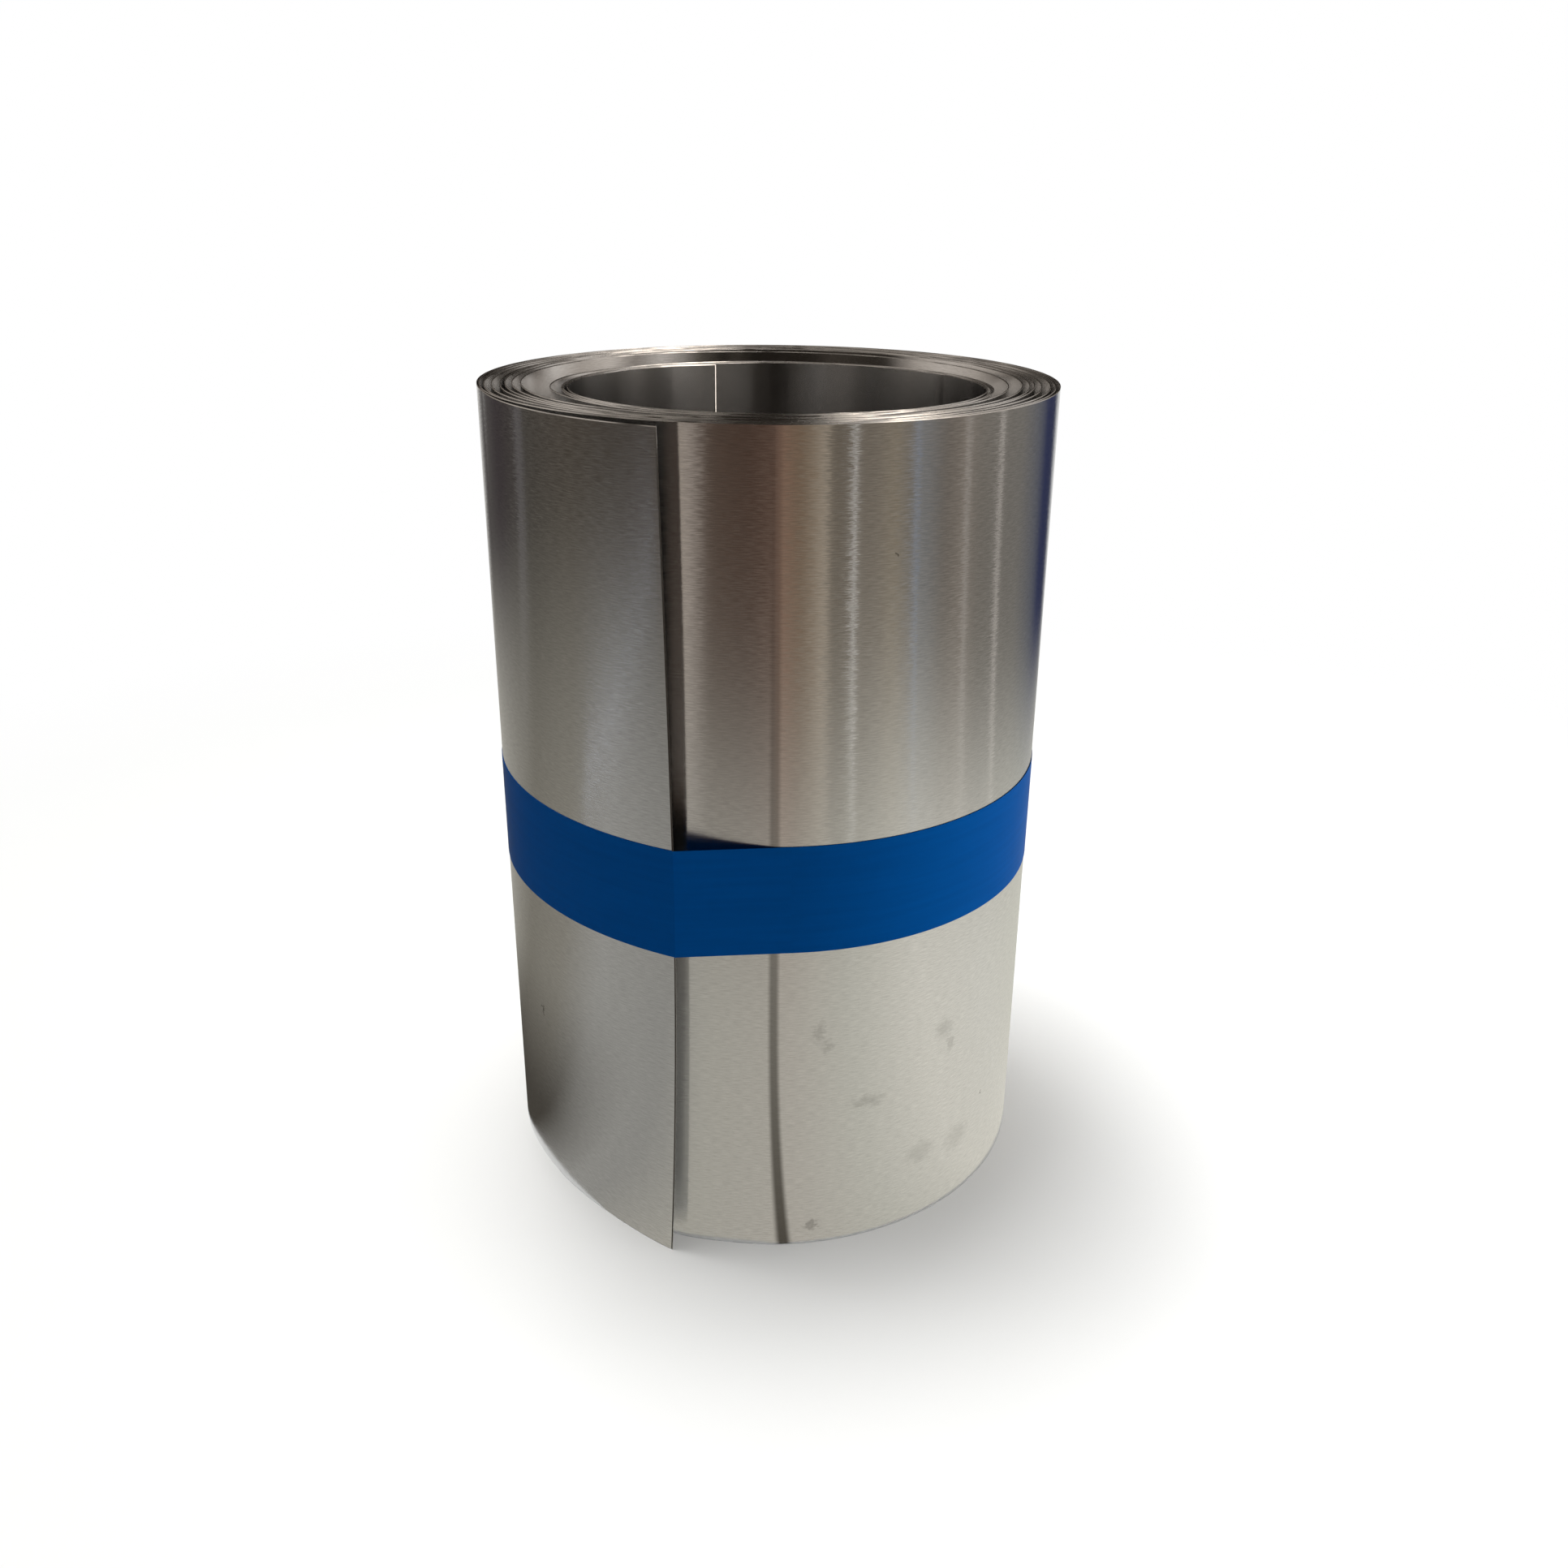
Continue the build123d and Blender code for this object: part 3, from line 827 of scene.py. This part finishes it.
reachStops = [  # how soon the pale table gives way to the dark room
    (0.0, "#808080"), (0.25, "#747474"), (0.30, "#787878"), (0.36, "#7e7e7e"), (0.41, "#848484"),
    (0.45, "#8e8e8e"), (0.52, "#929292"), (0.64, "#868686"), (0.74, "#929292"), (0.86, "#929292"),
    (1.0, "#808080")]
ceilingStops = [  # these show in the bore and on the rims
    (0.0, "#1a1612"), (0.08, "#6a625a"), (0.14, "#b0a69c"), (0.22, "#c4bab0"), (0.26, "#b0a69c"),
    (0.31, "#241f1a"), (0.40, "#3a342e"), (0.43, "#241f1a"), (0.52, "#1c1814"), (0.545, "#3a342e"),
    (0.56, "#1a1612"), (0.60, "#4a443c"), (0.66, "#c0b8b0"), (0.70, "#847c74"), (0.74, "#ccc2b8"),
    (0.80, "#b0a69c"), (0.86, "#d0c8c0"), (0.905, "#7a726a"), (0.95, "#1a1612"), (1.0, "#1a1612")]
shadeStops = [  # painted shade on the table card beside the foot, at the left
    (0.10, "#000000"), (0.17, "#ffffff"), (0.29, "#ffffff"), (0.36, "#000000")]
stripLights = [  # place, half width, colour
    (0.181, 0.008, "#585454"), (0.586, 0.0018, "#e0dcd6"), (0.655, 0.0012, "#8898b0"),
    (0.720, 0.003, "#a09890"), (0.7715, 0.0025, "#c0b8b0")]
ceilingLamps = [  # name, place, radius, strength
    ("cardLampRight", Vector((0.34, 0.04, 0.0)), 0.20, 2.6),
    ("cardLampLeft", Vector((-0.32, 0.02, 0.0)), 0.25, 0.3)]
room = {
    "radius": 3.0,
    "height": 1.0,
    "near": 0.1222,                     # inner radius of the floor card, just outside the roll
    "rise": 0.0002,                     # the cards lie this far above the floor
    "fadeStart": 0.35,                  # the table gives way to the wall tones between these
    "fadeEnd": 1.25,
    "reachMost": 4.6,
    "wallTop": 0.30,
    "ceilingFoot": 0.37,
    "lampDrop": 0.005,
    "lampColour": "#fff0e0",
    # painted shade of the floor inside the bore
    "boreShadeColour": "#4a4038",
    "boreReach": 0.096,
    "shadeNear": 0.14,
    "shadeFar": 0.26,
    "shadeColour": "#46423c",
}

cardMaterial, tree = newMaterial("studioCards")
place, around = compassPlace(tree)
ramps = []
for stops in (wallStops, floorStops, reachStops, shadeStops, ceilingStops):
    ramp = addNode(tree, "ShaderNodeValToRGB", {0: around})
    setStops(ramp, stops)
    ramps.append(ramp)
wallTone, floorTone, reachTone, shadeSide, ceilingTone = ramps
for stripPlace, halfWidth, hexColour in stripLights:
    fromStrip = addNode(tree, "ShaderNodeMath", {0: around, 1: stripPlace}, operation="SUBTRACT")
    offStrip = addNode(tree, "ShaderNodeMath", {0: fromStrip}, operation="ABSOLUTE")
    inStrip = addNode(tree, "ShaderNodeMath", {0: offStrip, 1: halfWidth}, operation="LESS_THAN")
    lit = addNode(tree, "ShaderNodeMix", {
        "Factor": inStrip, colourA: wallTone, colourB: linearColour(hexColour)}, data_type="RGBA")
    wallTone = lit.outputs[colourOut]
fromAxis = addNode(tree, "ShaderNodeVectorMath", {0: place}, operation="LENGTH").outputs["Value"]
reachValue = addNode(tree, "ShaderNodeMath", {0: reachTone, 1: room["reachMost"]}, operation="MULTIPLY")
scaled = addNode(tree, "ShaderNodeMath", {0: fromAxis, 1: reachValue}, operation="MULTIPLY")
wallShare = addNode(tree, "ShaderNodeMapRange", {
    "Value": scaled, "From Min": room["fadeStart"], "From Max": room["fadeEnd"]},
    interpolation_type="SMOOTHSTEP")
shadeNear = addNode(tree, "ShaderNodeMapRange", {
    "Value": fromAxis, "From Min": room["shadeFar"], "From Max": room["shadeNear"]})
shade = addNode(tree, "ShaderNodeMath", {0: shadeSide, 1: shadeNear}, operation="MULTIPLY")
table = addNode(tree, "ShaderNodeMix", {
    "Factor": shade, colourA: floorTone, colourB: linearColour(room["shadeColour"])}, data_type="RGBA")
lower = addNode(tree, "ShaderNodeMix", {
    "Factor": wallShare, colourA: table.outputs[colourOut], colourB: wallTone}, data_type="RGBA")
split = addNode(tree, "ShaderNodeSeparateXYZ", {0: place})
high = addNode(tree, "ShaderNodeMapRange", {
    "Value": split.outputs["Z"], "From Min": room["wallTop"], "From Max": room["ceilingFoot"]})
tone = addNode(tree, "ShaderNodeMix", {
    "Factor": high, colourA: lower.outputs[colourOut], colourB: ceilingTone}, data_type="RGBA")
glowMaterial(tree, tone.outputs[colourOut])

# painted shade: a dark glowing card for the shaded floor inside the bore, which only the reflections show
boreShadeMaterial, tree = newMaterial("studioBoreShade")
glowMaterial(tree, linearColour(room["boreShadeColour"]))

cardFloor = ringBand("cardFloor", (room["near"], room["rise"]), (room["radius"], room["rise"]))
cardBore = ringBand("cardBore", (pinhole, room["rise"]), (room["boreReach"], room["rise"]))
cardCeiling = ringBand("cardCeiling", (pinhole, room["height"]), (room["radius"], room["height"]))
cardWall = ringBand("cardWall", (room["radius"], 0.0), (room["radius"], room["height"]))

# a narrow cool light on the table, left of the roll, that the lap shows as a soft curved streak
streak = {
    "from": Vector((-0.55, -0.10, 0.0)),
    "to": Vector((-0.99, -0.81, 0.0)),
    "width": 0.011,
    "rise": 0.0005,
    "colour": "#e8eeff",
    "strength": 1.6,
}
streakMaterial, tree = newMaterial("studioStreak")
glowMaterial(tree, linearColour(streak["colour"]), streak["strength"])
streakRun = (streak["to"] - streak["from"]).normalized()
streakSide = Vector((-streakRun.y, streakRun.x, 0.0)) * streak["width"] / 2
streakCorners = [streak["from"] - streakSide, streak["to"] - streakSide,
                 streak["to"] + streakSide, streak["from"] + streakSide]
streakMesh = bpy.data.meshes.new("cardStreak")
streakMesh.from_pydata([(point.x, point.y, streak["rise"]) for point in streakCorners], [], [(0, 1, 2, 3)])
cardStreak = addObject("cardStreak", streakMesh)

roomCards = {cardFloor: cardMaterial, cardWall: cardMaterial, cardCeiling: cardMaterial,
             cardBore: boreShadeMaterial, cardStreak: streakMaterial}
lampHeight = room["height"] - room["lampDrop"]
for name, place, radius, strength in ceilingLamps:
    lampMaterial, tree = newMaterial(name)
    glowMaterial(tree, linearColour(room["lampColour"]), strength)
    cardLamp = ringBand(name, (pinhole, lampHeight), (radius, lampHeight))
    cardLamp.data.transform(Matrix.Translation(place))
    roomCards[cardLamp] = lampMaterial
for card, material in roomCards.items():
    card.data.materials.append(material)
    card.visible_camera = False
    card.visible_diffuse = False
    card.visible_shadow = False
    card.visible_transmission = False
for stagePiece in (floor, *roomCards):
    stagePiece.location = rollCentre
print("stage set")


# Camera fitted to the roll's rims and sides

view = {
    "lens": 33.70,
    "sensor": 36.0,
    "place": Vector((0.0, -0.6378, 0.4382)),  # from the foot of the roll's axis
    "pan": -0.012,
    "tilt": 0.399,                      # downwards from level
    "roll": 0.0091,
}
cameraData = bpy.data.cameras.new("camera")
cameraData.lens = view["lens"]
cameraData.sensor_width = view["sensor"]
camera = addObject("camera", cameraData)
camera.location = rollCentre + view["place"]
camera.rotation_mode = "QUATERNION"
turns = [(view["pan"], "Z"), (pi / 2 - view["tilt"], "X"), (view["roll"], "Z")]
panned, tilted, rolled = [Matrix.Rotation(turn, 4, axis) for turn, axis in turns]
camera.rotation_quaternion = (panned @ tilted @ rolled).to_quaternion()
scene.camera = camera
